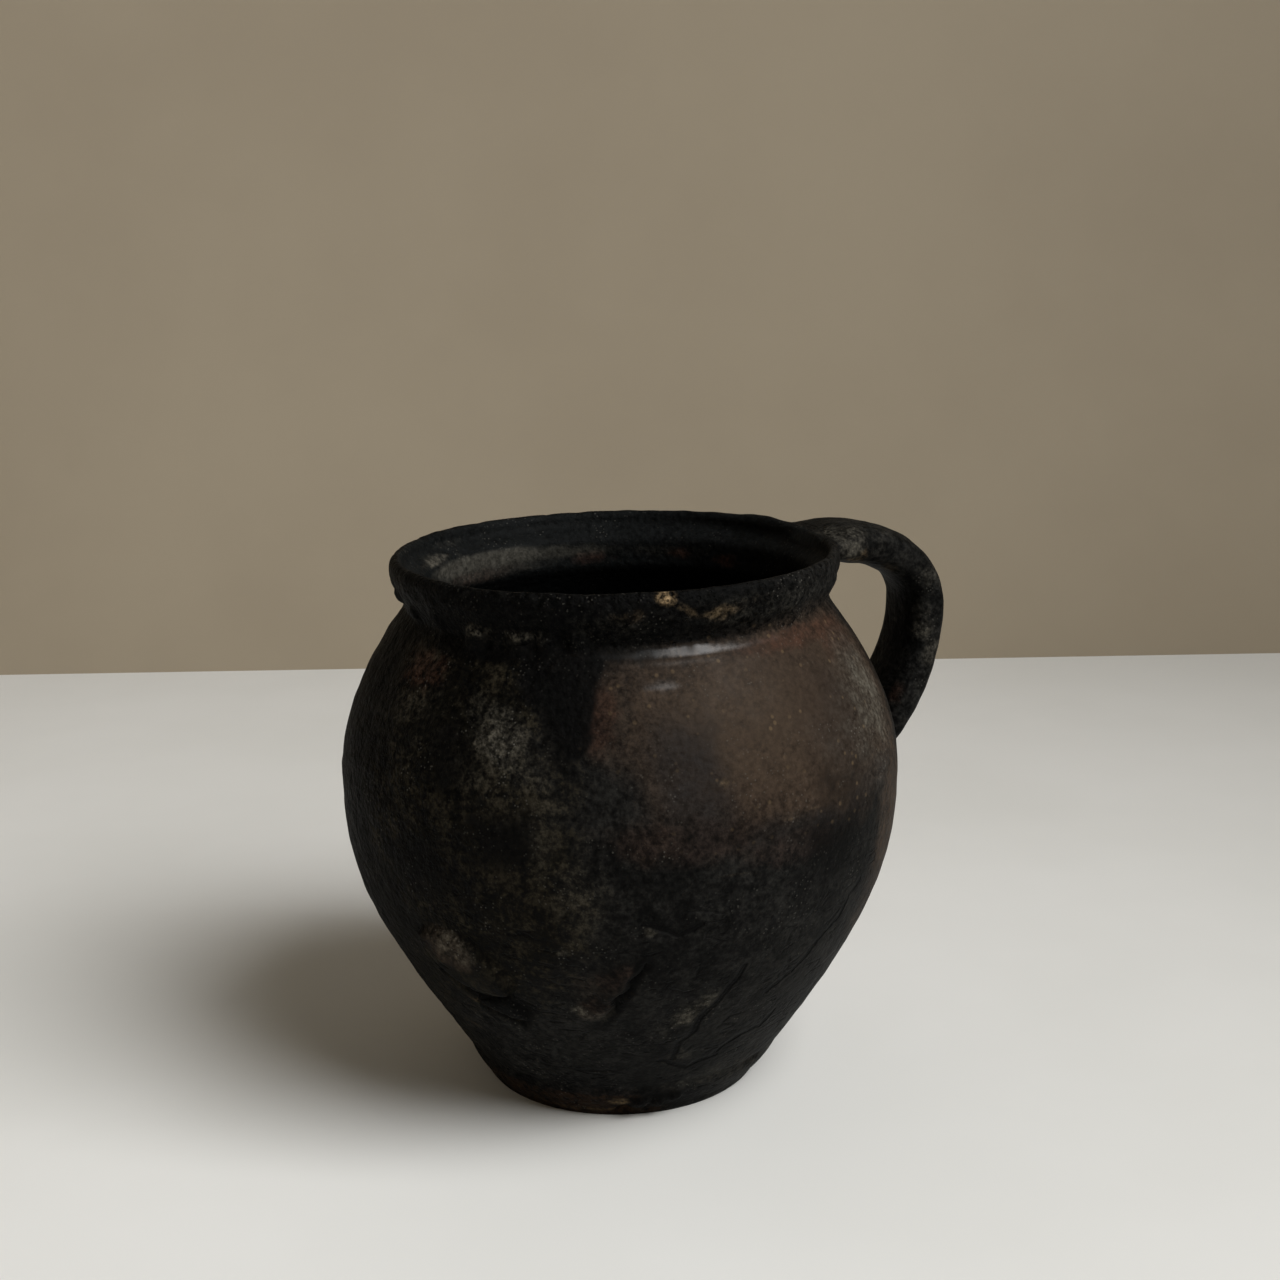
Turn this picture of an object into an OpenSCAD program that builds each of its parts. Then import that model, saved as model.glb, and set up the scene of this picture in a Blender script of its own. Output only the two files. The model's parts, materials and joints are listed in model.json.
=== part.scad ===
// Hand-thrown earthenware pot with one strap handle. One fired piece of clay.
// The pot stands on Z = 0 with the middle of its base at the origin.
// The handle lies in the XZ plane, on the +X side.

/* [Body] */
// Height from the table to the crest of the rim
pot_h = 170; // [150:1:200]
// Widest outside diameter, round the belly
belly_d = 176; // [164:0.5:196]
// Height of the widest line
belly_z = 100; // [84:1:112]
// How full the lower half is above the foot
low_fullness = 0.87; // [0.6:0.01:1]
// How long the shoulder stays full before it turns in
shoulder_fullness = 0.42; // [0.3:0.01:0.6]

/* [Foot] */
// Diameter of the flat face that the pot stands on
base_d = 88; // [70:1:96]
// Diameter of the wall where it starts above the notch
foot_d = 108; // [98:1:120]
// Depth of the notch between the foot and the wall
foot_notch = 1.6; // [0:0.1:4]
// Height of the foot up to the notch
foot_h = 14; // [8:0.5:20]

/* [Neck and rim] */
// Outside diameter in the crease under the rim
neck_d = 131.4; // [122:0.5:138]
// Height of the rim band, from the crease to the crest
rim_band_h = 16; // [12:0.5:22]
// Largest outside diameter of the rim
rim_d = 139.4; // [134:0.2:148]
// Thickness of the rim's rounded edge
lip_t = 4.6; // [3.5:0.1:6]
// Height over which the rim's edge is rounded
lip_h = 3.6; // [2:0.1:5]
// Depth from the crest to the top of the throat, the narrowest band inside
throat_drop = 10.5; // [8:0.5:12]
// Height of the throat
throat_h = 8; // [4:0.5:12]

/* [Walls] */
// Thickness of the wall at the belly
wall = 5.5; // [4:0.1:8]
// Thickness of the wall in the crease under the rim
neck_wall = 6.2; // [5:0.1:9]
// Thickness of the wall just above the foot
foot_wall = 9; // [6:0.5:12]
// Thickness of the floor
floor_t = 8; // [5:0.5:12]
// Size of the rounded corner inside, between the floor and the wall
floor_round = 10; // [6:0.5:14]

/* [Handle] */
// How far the handle stands out past the belly
handle_out = 26.5; // [20:0.5:40]
// Depth of the handle's outermost point below the crest
handle_bend_drop = 27; // [20:1:34]
// Depth of the strap's centre below the crest where it meets the rim
handle_drop = 5; // [4.4:0.2:9]
// Depth below the widest line at which the strap has sunk into the belly
handle_end_drop = 8; // [-4:1:16]
// Width of the strap
handle_w = 27; // [18:0.5:34]
// Thickness of the strap
handle_t = 14; // [9:0.2:17]
// Extra width where the strap is smeared on the rim and the belly
handle_spread = 4; // [0:0.5:6]

/* [Hand-made form] */
// How far the body stands off the middle of its foot
foot_shift = 1.3; // [0:0.1:4]
// How far the rim leans back from the belly's centre
rim_shift = 0.3; // [0:0.1:4]
// Direction of both shifts, from the handle
shift_angle = -20; // [-180:1:180]
// How much higher the rim is on the handle's side than opposite it
rim_rise = 0.8; // [0:0.1:4]
// How much longer the rim is along the handle than across it
rim_oval = 0.4; // [0:0.1:4]

/* [Lump on the lower body] */
// Angle of the lump from the handle
lump_angle = -144; // [-180:1:180]
// Height of the lump
lump_z = 62; // [40:1:90]
// Half length of the lump along its slanting ridge
lump_len = 13; // [8:0.5:24]
// Half breadth of the lump
lump_w = 7; // [5:0.5:16]
// How far the lump stands out
lump_out = 2; // [0:0.1:4]
// Slope of the lump's ridge, falling to the right as it is seen
lump_slope = 28; // [-90:1:90]

/* [Hollow on the lower body] */
// Angle of the hollow from the handle
hollow_angle = -116; // [-180:1:180]
// Height of the hollow
hollow_z = 59; // [40:1:90]
// Half width and half height of the hollow
hollow_w = 14; // [8:0.5:24]
// Depth of the hollow
hollow_in = 1.6; // [0:0.1:4]

/* [Chip in the foot] */
// Angle of the chip from the handle
chip_angle = -111; // [-180:1:180]
// Half width of the chip
chip_w = 4; // [3:0.5:12]
// Depth of the chip
chip_in = 1.6; // [0:0.1:4]

/* [Hidden] */

// Fineness: sides round the body, sides round the strap and rings along it
sides = 72;
strap_sides = 20;
strap_rings = 34;

base_r = base_d / 2;
foot_r = foot_d / 2;
foot_top_r = foot_r - foot_notch;
belly_r = belly_d / 2;
neck_r = neck_d / 2;
rim_r = rim_d / 2;
neck_z = pot_h - rim_band_h;
lip_z = pot_h - lip_h;

// Inside sizes, each tied to the outside by a wall
belly_in_r = belly_r - wall;
throat_r = neck_r - neck_wall;
throat_z = pot_h - throat_drop;
floor_r = foot_r - foot_wall;

// Height of the ledge between the foot and the wall
ledge_h = 0.07 * foot_h;

// Steps between two values, smoothly or evenly
function ease(t) = let (s = max(0, min(1, t))) s * s * (3 - 2 * s);
function mix(a, b, s) = a + (b - a) * s;

// A point at share t of a cubic curve, and a run of n points without its last
function curve(p, t) =
    pow(1 - t, 3) * p[0]
    + 3 * pow(1 - t, 2) * t * p[1]
    + 3 * (1 - t) * pow(t, 2) * p[2]
    + pow(t, 3) * p[3];
function points(p, n) = [for (i = [0 : n - 1]) curve(p, i / n)];
function backward(list) = [for (i = [len(list) - 1 : -1 : 0]) list[i]];

// Curve of the lower half, from a foot point up to the widest line
function low_curve(r0, z0, r1) = [
    [r0, z0],
    [mix(r0, r1, low_fullness), mix(z0, belly_z, 0.52)],
    [r1, mix(belly_z, z0, 0.29)],
    [r1, belly_z]
];
// Curve of the shoulder, from the widest line up to a neck point
function shoulder_curve(r0, r1, z1) = [
    [r0, belly_z],
    [r0, mix(belly_z, z1, 0.26)],
    [mix(r1, r0, 0.8), mix(z1, belly_z, shoulder_fullness)],
    [r1, z1]
];

// Outline of the outside as [radius, height], from the base up to the lip
foot_edge = [
    [base_r, 0],
    [mix(base_r, foot_top_r, 0.3), 0.24 * foot_h],
    [mix(base_r, foot_top_r, 0.85), 0.54 * foot_h],
    [foot_top_r, foot_h]
];
rim_band = [
    [neck_r, neck_z],
    [neck_r, mix(neck_z, lip_z, 0.3)],
    [rim_r, mix(neck_z, lip_z, 0.45)],
    [rim_r, lip_z]
];
outside = concat(
    points(foot_edge, 4),
    points(low_curve(foot_r, foot_h + ledge_h, belly_r), 13),
    points(shoulder_curve(belly_r, neck_r, neck_z), 12),
    points(rim_band, 4)
);

// Rounded edge of the rim, from its outside over the crest to its inside
lip_steps = 6;
lip = [
    for (i = [0 : lip_steps])
        let (a = i * 180 / lip_steps)
        [rim_r - lip_t / 2 * (1 - cos(a)), lip_z + lip_h * sin(a)]
];

// Outline of the inside, from the lip down to the floor
flare = [
    [rim_r - lip_t, lip_z],
    [rim_r - lip_t, mix(lip_z, throat_z, 0.3)],
    [throat_r, mix(lip_z, throat_z, 0.5)],
    [throat_r, throat_z]
];
floor_corner = [
    [floor_r, floor_t + 0.8 * floor_round],
    [floor_r - 0.3 * floor_round, floor_t + 0.3 * floor_round],
    [floor_r - 0.5 * floor_round, floor_t],
    [floor_r - 1.2 * floor_round, floor_t]
];
inside = concat(
    [for (i = [1 : 3]) curve(flare, i / 3)],
    backward(points(shoulder_curve(belly_in_r, throat_r, throat_z - throat_h), 9)),
    backward(points(low_curve(floor_r, floor_corner[0][1], belly_in_r), 9)),
    [for (i = [1 : 3]) curve(floor_corner, i / 3)]
);

// Centre of the body at a height: the body stands off its foot and the rim leans back
function centre(z) =
    (foot_shift * ease(z / foot_h) - rim_shift * ease((z - belly_z) / (neck_z - belly_z)))
    * [cos(shift_angle), sin(shift_angle)];

// Distance along the surface from a spot at one angle, and a bell that fades with distance
function turn(a, spot_angle) = let (d = a - spot_angle) d - 360 * round(d / 360);
function along(a, spot_angle, r) = r * turn(a, spot_angle) * PI / 180;
function bell(u, v) = exp(-(u * u + v * v));

// Marks on the outside, as how far each moves the wall out
function lump(a, r, z) =
    let (
        u = along(a, lump_angle, r),
        v = z - lump_z,
        ridge = u * cos(lump_slope) - v * sin(lump_slope),
        cross = u * sin(lump_slope) + v * cos(lump_slope)
    )
    lump_out * bell(ridge / lump_len, cross / lump_w);
function hollow(a, r, z) =
    -hollow_in * bell(along(a, hollow_angle, r) / hollow_w, (z - hollow_z) / hollow_w);
function chip(a, r, z) =
    -chip_in * bell(along(a, chip_angle, r) / chip_w, z / chip_w);
function marks(a, r, z) = lump(a, r, z) + hollow(a, r, z) + chip(a, r, z);

// One point of the body: an outline's point at an angle, out of round and tilted as thrown
function oval(a, z) = rim_oval / 4 * cos(2 * a) * ease((z - belly_z) / (pot_h - belly_z));
function on_body(r, z, a) =
    let (q = r * (1 + oval(a, z) / rim_r), c = centre(z), x = q * cos(a))
    [c[0] + x, c[1] + q * sin(a), z + rim_rise / 2 * pow(z / pot_h, 2) * x / rim_r];
function outer_ring(p) = [
    for (j = [0 : sides - 1])
        let (a = j * 360 / sides)
        on_body(p[0] + marks(a, p[0], p[1]), p[1], a)
];
function inner_ring(p) = [for (j = [0 : sides - 1]) on_body(p[0], p[1], j * 360 / sides)];

// Radius of the outside at a height
function outside_r(z) = lookup(z, [for (p = outside) [p[1], p[0]]]);

// The strap's centre line as [distance from the axis, height]: from a root sunk in
// the rim, out to the bend and down to a tail sunk in the belly
end_z = belly_z - handle_end_drop;
root = [rim_r - lip_t / 2 + centre(pot_h)[0], pot_h - handle_drop];
bend = [belly_r + handle_out - handle_t / 2, pot_h - handle_bend_drop];
tail = [outside_r(end_z) + centre(end_z)[0] - wall / 2, end_z];
top_curve = [
    root,
    [mix(root[0], bend[0], 0.48), root[1] + 0.2 * handle_t],
    [bend[0], mix(bend[1], root[1], 0.76)],
    bend
];
low_strap = [
    bend,
    [bend[0], mix(bend[1], tail[1], 0.36)],
    [mix(tail[0], bend[0], 0.56), mix(tail[1], bend[1], 0.36)],
    tail
];
function strap_at(t) = t < 0.5 ? curve(top_curve, 2 * t) : curve(low_strap, 2 * t - 1);

// Half thickness of the strap, which thins to a sunk root and tail
root_half_t = min(handle_t / 2, 0.93 * handle_drop);
tail_half_t = 0.3 * wall;
root_share = 0.12;
tail_share = 0.23;
function strap_half_t(t) =
    t < 0.5
        ? mix(root_half_t, handle_t / 2, ease(t / root_share))
        : mix(handle_t / 2, tail_half_t, pow(max(0, 1 - (1 - t) / tail_share), 2));

// Half width of the strap, smeared wider on the rim and down the belly
function strap_half_w(t) =
    (handle_w + handle_spread * (1 - ease((t - 0.08) / 0.2) + ease((t - 0.45) / 0.4))) / 2;

// How far the strap's edges bend back to follow the round rim and belly
function wrap(t, across) =
    across * across / 2 * ((1 - ease(t / 0.15)) / rim_r + ease((t - 0.55) / 0.45) / belly_r);

// A strap section, square to the centre line: an oval with fuller corners
function fuller(c) = sign(c) * pow(abs(c), 0.88);
function strap_ring(t) =
    let (
        step = 0.004,
        p = strap_at(t),
        d = strap_at(min(1, t + step)) - strap_at(max(0, t - step)),
        out = [-d[1], d[0]] / norm(d)
    )
    [
        for (j = [0 : strap_sides - 1])
            let (
                a = j * 360 / strap_sides,
                up = strap_half_t(t) * fuller(cos(a)),
                across = strap_half_w(t) * fuller(sin(a))
            )
            [p[0] + out[0] * up - wrap(t, across), centre(p[1])[1] - across, p[1] + out[1] * up]
    ];

// Rings of points joined by triangles and closed by a flat face at each end
module loft(rings) {
    n = len(rings[0]);
    last = len(rings) - 1;
    walls = [
        for (k = [0 : last - 1], j = [0 : n - 1])
            let (a = k * n + j, b = k * n + (j + 1) % n)
            each [[a, a + n, b], [b, a + n, b + n]]
    ];
    first_face = [for (j = [0 : n - 1]) j];
    last_face = [for (j = [n - 1 : -1 : 0]) last * n + j];
    polyhedron([for (ring = rings) each ring], concat(walls, [first_face, last_face]), convexity = 6);
}

// The thrown body: one wall from the base up, over the rim and down to the floor
module body() {
    loft(concat([for (p = outside) outer_ring(p)], [for (p = concat(lip, inside)) inner_ring(p)]));
}

// The pulled strap handle, smeared on the rim and the belly
module strap() {
    loft([for (k = [0 : strap_rings]) strap_ring(k / strap_rings)]);
}

module pot() {
    color("#2b2724")
        union() {
            body();
            strap();
        }
}

pot();
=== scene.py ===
"""A hand-thrown earthenware pot, blackened by fire, with one luted strap handle.

The body is an outline turned round the pot's axis and the strap is a section carried along a path.
Both are joined into one skin of clay, which is then worked over with what the potter's hand, the
fire and long use left on it. Sizes are in millimetres, and become metres where a mesh is made.
"""

import json
import logging
import math
from dataclasses import dataclass, field
from enum import Enum
from functools import reduce
from typing import Any, Sequence, Union

import bmesh
import bpy
import numpy as np
from mathutils import Matrix, Vector

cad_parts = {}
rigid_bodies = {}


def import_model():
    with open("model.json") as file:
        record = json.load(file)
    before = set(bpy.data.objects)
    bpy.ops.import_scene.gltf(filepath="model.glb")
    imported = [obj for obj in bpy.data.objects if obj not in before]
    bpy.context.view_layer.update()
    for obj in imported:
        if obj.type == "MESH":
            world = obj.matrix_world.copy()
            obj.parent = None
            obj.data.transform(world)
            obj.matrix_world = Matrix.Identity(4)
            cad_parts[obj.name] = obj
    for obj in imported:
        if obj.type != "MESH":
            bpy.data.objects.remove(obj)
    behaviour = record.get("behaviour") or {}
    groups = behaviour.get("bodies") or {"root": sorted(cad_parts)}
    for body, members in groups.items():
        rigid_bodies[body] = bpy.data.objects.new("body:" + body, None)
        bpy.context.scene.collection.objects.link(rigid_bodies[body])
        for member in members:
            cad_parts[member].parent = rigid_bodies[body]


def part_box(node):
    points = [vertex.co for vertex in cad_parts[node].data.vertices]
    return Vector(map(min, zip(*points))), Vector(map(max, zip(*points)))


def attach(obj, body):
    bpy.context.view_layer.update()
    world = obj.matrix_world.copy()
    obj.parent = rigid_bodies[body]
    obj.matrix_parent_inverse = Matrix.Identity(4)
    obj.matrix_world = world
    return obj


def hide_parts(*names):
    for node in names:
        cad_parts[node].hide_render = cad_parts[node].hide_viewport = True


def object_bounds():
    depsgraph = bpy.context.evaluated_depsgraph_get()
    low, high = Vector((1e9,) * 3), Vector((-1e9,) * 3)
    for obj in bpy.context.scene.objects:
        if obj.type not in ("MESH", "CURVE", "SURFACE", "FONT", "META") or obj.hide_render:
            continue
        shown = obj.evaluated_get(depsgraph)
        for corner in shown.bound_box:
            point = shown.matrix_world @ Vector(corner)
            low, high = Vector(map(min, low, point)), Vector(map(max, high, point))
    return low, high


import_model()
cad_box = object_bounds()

Array = np.ndarray
MM = 0.001
CURVE_POINTS = 60
GRAIN_SEED = 7
CRACK_SEED = 5
LOG = logging.getLogger("pot")


# Plain maths on whole arrays

def ease(t: Any) -> Any:
    """A smooth step from 0 to 1: 3 t squared less 2 t cubed, held at its ends."""
    s = np.clip(t, 0.0, 1.0)
    return s * s * (3.0 - 2.0 * s)


def mix(a: Any, b: Any, share: Any) -> Any:
    """The value that lies a share of the way from a to b."""
    return a + (b - a) * share


def bell(*distances: Any) -> Any:
    """A bump that is 1 in the middle: e to the minus sum of the squared distances, in its reaches."""
    return np.exp(-sum(np.square(d) for d in distances))


def curve(ends: Sequence[Sequence[float]]) -> Array:
    """Points along a cubic curve: its four points weighted by the Bernstein terms of t.

    Args:
        ends: start, two handles and end, each a point.

    Returns:
        Array of CURVE_POINTS points.
    """
    t = np.linspace(0.0, 1.0, CURVE_POINTS)[:, None]
    p = np.asarray(ends, float)
    return ((1 - t) ** 3 * p[0] + 3 * (1 - t) ** 2 * t * p[1]
            + 3 * (1 - t) * t ** 2 * p[2] + t ** 3 * p[3])


def spaced(points: Array, step: float = 1.0, count: int = 0) -> Array:
    """The same line with points at even distances along it.

    Args:
        points: points along the line.
        step: distance wished between points.
        count: number of points, or 0 where the step gives it.

    Returns:
        Array of the new points.
    """
    run = np.concatenate([[0.0], np.cumsum(np.linalg.norm(np.diff(points, axis=0), axis=1))])
    at = np.linspace(0.0, run[-1], count or max(2, round(run[-1] / step) + 1))
    return np.stack([np.interp(at, run, column) for column in points.T], axis=1)


@dataclass
class Grain:
    """Seeded noise in space, from random numbers on a lattice that repeats every SIZE cells."""

    seed: int
    lattice: Array = field(init=False)
    SIZE = 64

    def __post_init__(self) -> None:
        """Draws the lattice's random numbers."""
        self.lattice = np.random.default_rng(self.seed).random((self.SIZE,) * 3)

    def _look(self, cell: Array, shift: int = 0) -> Array:
        """The lattice's number from 0 to 1 at each cell, wrapped round. A shift gives another one."""
        i = (cell + shift) % self.SIZE
        return self.lattice[i[:, 0], i[:, 1], i[:, 2]]

    def smooth(self, points: Array, cell: float) -> Array:
        """Smooth noise: the numbers at the corners of a point's cell, blended by its eased place.

        Args:
            points: points in space, one row each.
            cell: size of the noise.

        Returns:
            Values from -1 to 1.
        """
        scaled = points / cell
        low = np.floor(scaled).astype(int)
        part = ease(scaled - low)
        total = np.zeros(len(points))
        for corner in np.ndindex(2, 2, 2):
            weight = np.prod(np.where(corner, part, 1.0 - part), axis=1)
            total += weight * self._look(low + corner)
        return total * 2.0 - 1.0

    def layered(self, points: Array, cell: float, layers: int = 3) -> Array:
        """Smooth noise added to itself at half the size and half the strength, several times."""
        parts = [self.smooth(points + 17.0 * k, cell / 2 ** k) / 2 ** k for k in range(layers)]
        return sum(parts) / (2.0 - 2.0 ** (1 - layers))

    def dots(self, points: Array, cell: float) -> tuple[Array, Array]:
        """Scattered dots, one in each cell at a random place.

        Args:
            points: points in space, one row each.
            cell: size of the cells.

        Returns:
            Distance to the nearest dot in cells, and a random number that belongs to that dot.
        """
        scaled = points / cell
        low = np.floor(scaled).astype(int)
        nearest = np.full(len(points), 9.0)
        own = np.zeros(len(points))
        for step in np.ndindex(3, 3, 3):
            near = low + np.array(step) - 1
            place = near + np.stack([self._look(near, s) for s in (5, 11, 23)], axis=1)
            distance = np.linalg.norm(scaled - place, axis=1)
            closer = distance < nearest
            nearest = np.where(closer, distance, nearest)
            own = np.where(closer, self._look(near, 31), own)
        return nearest, own


# Sizes

@dataclass(frozen=True)
class PotSizes:
    """Sizes of the pot in millimetres, with the belly and the handle's reach from the frame."""

    belly_r: float
    reach: float
    pot_h: float = 170.0
    belly_z: float = 100.0
    low_fullness: float = 0.87
    shoulder_fullness: float = 0.42
    base_r: float = 44.0
    foot_r: float = 54.0
    foot_notch: float = 1.6
    foot_h: float = 14.0
    ledge_h: float = 1.0
    neck_r: float = 65.7
    rim_band_h: float = 16.0
    rim_r: float = 69.7
    lip_t: float = 4.6
    lip_h: float = 3.6
    throat_drop: float = 10.5
    throat_h: float = 8.0
    wall: float = 5.5
    neck_wall: float = 6.2
    foot_wall: float = 9.0
    floor_t: float = 8.0
    floor_round: float = 10.0
    bend_drop: float = 27.0
    root_drop: float = 5.0
    end_drop: float = 8.0
    strap_w: float = 27.0
    strap_t: float = 14.0
    strap_spread: float = 4.0
    foot_shift: float = 1.3
    rim_shift: float = 0.3
    shift_angle: float = -20.0
    rim_rise: float = 0.8
    rim_oval: float = 0.4

    @classmethod
    def from_frame(cls) -> "PotSizes":
        """The sizes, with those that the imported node's box gives."""
        low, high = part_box("pot")
        return cls(belly_r=(high.y - low.y) / 2 / MM, reach=high.x / MM)

    @property
    def neck_z(self) -> float:
        """Height of the crease under the rim."""
        return self.pot_h - self.rim_band_h

    @property
    def lip_z(self) -> float:
        """Height at which the rim's edge starts to round over."""
        return self.pot_h - self.lip_h

    @property
    def throat_z(self) -> float:
        """Height of the top of the throat."""
        return self.pot_h - self.throat_drop

    def centre(self, z: Any) -> Array:
        """Place of the body's middle at a height: it stands off its foot and leans back.

        Args:
            z: heights.

        Returns:
            One row of x and y for each height.
        """
        z = np.atleast_1d(np.asarray(z, float))
        turn = math.radians(self.shift_angle)
        lean = self.rim_shift * ease((z - self.belly_z) / (self.neck_z - self.belly_z))
        off = self.foot_shift * ease(z / self.foot_h) - lean
        return off[:, None] * np.array([math.cos(turn), math.sin(turn)])


# Meshes

def make_object(name: str, points: Array, faces: list[list[int]]) -> bpy.types.Object:
    """A smooth-shaded object from points in millimetres, at the origin.

    Args:
        name: name of the object.
        points: its points, one row each.
        faces: its faces, each a list of point numbers.

    Returns:
        The new object, in the scene.
    """
    mesh = bpy.data.meshes.new(name)
    mesh.from_pydata((points * MM).tolist(), [], faces)
    mesh.polygons.foreach_set("use_smooth", np.ones(len(mesh.polygons), bool))
    mesh.update()
    made = bpy.data.objects.new(name, mesh)
    bpy.context.scene.collection.objects.link(made)
    return made


def tube_faces(rings: int, sides: int) -> list[list[int]]:
    """Four-sided faces between neighbouring rings, each ring's points numbered in a row.

    Args:
        rings: number of rings.
        sides: points in each ring.

    Returns:
        The faces, which point outwards where the rings rise and turn anticlockwise.
    """
    k, j = np.meshgrid(np.arange(rings - 1), np.arange(sides), indexing="ij")
    a, b = k * sides + j, k * sides + (j + 1) % sides
    return np.stack([a, b, b + sides, a + sides], axis=-1).reshape(-1, 4).tolist()


def read_points(mesh: bpy.types.Mesh) -> Array:
    """The mesh's points in millimetres, one row each."""
    flat = np.empty(len(mesh.vertices) * 3)
    mesh.vertices.foreach_get("co", flat)
    return flat.reshape(-1, 3) / MM


def write_points(mesh: bpy.types.Mesh, points: Array) -> None:
    """Puts points in millimetres back into the mesh."""
    mesh.vertices.foreach_set("co", (points * MM).ravel())
    mesh.update()


def read_normals(mesh: bpy.types.Mesh) -> Array:
    """The mesh's smooth normals, one row for each point."""
    flat = np.empty(len(mesh.vertices) * 3)
    mesh.vertex_normals.foreach_get("vector", flat)
    return flat.reshape(-1, 3)


@dataclass
class Body:
    """The thrown body: an outline of radius and height, turned round the pot's axis."""

    sizes: PotSizes
    sides: int = 400
    crowding: float = 0.26
    crowded_side: float = -110.0

    def outside(self) -> list[tuple[Array, float]]:
        """The outside's outline, from the middle of the base to the lip.

        Returns:
            Stretches of the outline, each with the distance wished between its rings.
        """
        s = self.sizes
        foot_top = s.foot_r - s.foot_notch
        start = s.foot_h + s.ledge_h
        base = np.array([[0.0, 0.0], [s.base_r, 0.0]])
        foot = curve([
            (s.base_r, 0.0),
            (mix(s.base_r, foot_top, 0.3), 0.24 * s.foot_h),
            (mix(s.base_r, foot_top, 0.85), 0.54 * s.foot_h),
            (foot_top, s.foot_h),
        ])
        band = curve([
            (s.neck_r, s.neck_z),
            (s.neck_r, mix(s.neck_z, s.lip_z, 0.3)),
            (s.rim_r, mix(s.neck_z, s.lip_z, 0.45)),
            (s.rim_r, s.lip_z),
        ])
        low = self.low_curve(s.foot_r, start, s.belly_r)
        shoulder = self.shoulder_curve(s.belly_r, s.neck_r, s.neck_z)
        return [(base, 5.5), (foot, 1.3), (low, 1.25), (shoulder, 1.35), (band, 1.1)]

    def low_curve(self, r0: float, z0: float, r1: float) -> Array:
        """Curve of the lower half, from a foot point up to the widest line.

        Args:
            r0: radius at the foot point.
            z0: height of the foot point.
            r1: radius at the widest line.

        Returns:
            Points of radius and height.
        """
        s = self.sizes
        return curve([
            (r0, z0),
            (mix(r0, r1, s.low_fullness), mix(z0, s.belly_z, 0.52)),
            (r1, mix(s.belly_z, z0, 0.29)),
            (r1, s.belly_z),
        ])

    def shoulder_curve(self, r0: float, r1: float, z1: float) -> Array:
        """Curve of the shoulder, from the widest line up to a neck point.

        Args:
            r0: radius at the widest line.
            r1: radius at the neck point.
            z1: height of the neck point.

        Returns:
            Points of radius and height.
        """
        s = self.sizes
        return curve([
            (r0, s.belly_z),
            (r0, mix(s.belly_z, z1, 0.26)),
            (mix(r1, r0, 0.8), mix(z1, s.belly_z, s.shoulder_fullness)),
            (r1, z1),
        ])

    def lip(self) -> Array:
        """Half a turn of an oval, from the rim's outside over its crest to its inside."""
        s = self.sizes
        a = np.linspace(0.0, math.pi, 40)
        return np.stack([s.rim_r - s.lip_t / 2 * (1 - np.cos(a)), s.lip_z + s.lip_h * np.sin(a)], axis=1)

    def inside(self) -> list[tuple[Array, float]]:
        """The inside's outline, from the lip down to the middle of the floor.

        Returns:
            Stretches of the outline, each with the distance wished between its rings.
        """
        s = self.sizes
        throat_r = s.neck_r - s.neck_wall
        floor_r = s.foot_r - s.foot_wall
        lip_in = s.rim_r - s.lip_t
        flare = curve([
            (lip_in, s.lip_z),
            (lip_in, mix(s.lip_z, s.throat_z, 0.3)),
            (throat_r, mix(s.lip_z, s.throat_z, 0.5)),
            (throat_r, s.throat_z),
        ])
        low_throat = s.throat_z - s.throat_h
        throat = np.array([[throat_r, s.throat_z], [throat_r, low_throat]])
        shoulder = self.shoulder_curve(s.belly_r - s.wall, throat_r, low_throat)[::-1]
        corner_z = s.floor_t + 0.8 * s.floor_round
        low = self.low_curve(floor_r, corner_z, s.belly_r - s.wall)[::-1]
        corner = curve([
            (floor_r, corner_z),
            (floor_r - 0.3 * s.floor_round, s.floor_t + 0.3 * s.floor_round),
            (floor_r - 0.5 * s.floor_round, s.floor_t),
            (floor_r - 1.2 * s.floor_round, s.floor_t),
        ])
        floor = np.array([[floor_r - 1.2 * s.floor_round, s.floor_t], [0.0, s.floor_t]])
        return [(flare, 1.3), (throat, 1.6), (shoulder, 3.4), (low, 4.6), (corner, 2.6), (floor, 5.5)]

    def outer_radius(self, z: Array) -> Array:
        """Radius of the outside at each height."""
        line = np.concatenate([points for points, _ in self.outside()[1:]])
        order = np.argsort(line[:, 1], kind="stable")
        return np.interp(z, line[order, 1], line[order, 0])

    def place(self, r: Array, z: Array, angle: Array) -> Array:
        """Points of the body: a ring round the leaning middle, out of round and tilted as thrown.

        Args:
            r: radii from the middle.
            z: heights in the outline.
            angle: angles from the handle, in radians.

        Returns:
            Points in space, one row each.
        """
        s = self.sizes
        oval = s.rim_oval / 4 * np.cos(2 * angle) * ease((z - s.belly_z) / (s.pot_h - s.belly_z))
        q = r * (1 + oval / s.rim_r)
        x, y = q * np.cos(angle), q * np.sin(angle)
        middle = s.centre(z)
        tilt = s.rim_rise / 2 * (z / s.pot_h) ** 2 * x / s.rim_r
        return np.stack([middle[:, 0] + x, middle[:, 1] + y, z + tilt], axis=1)

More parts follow.
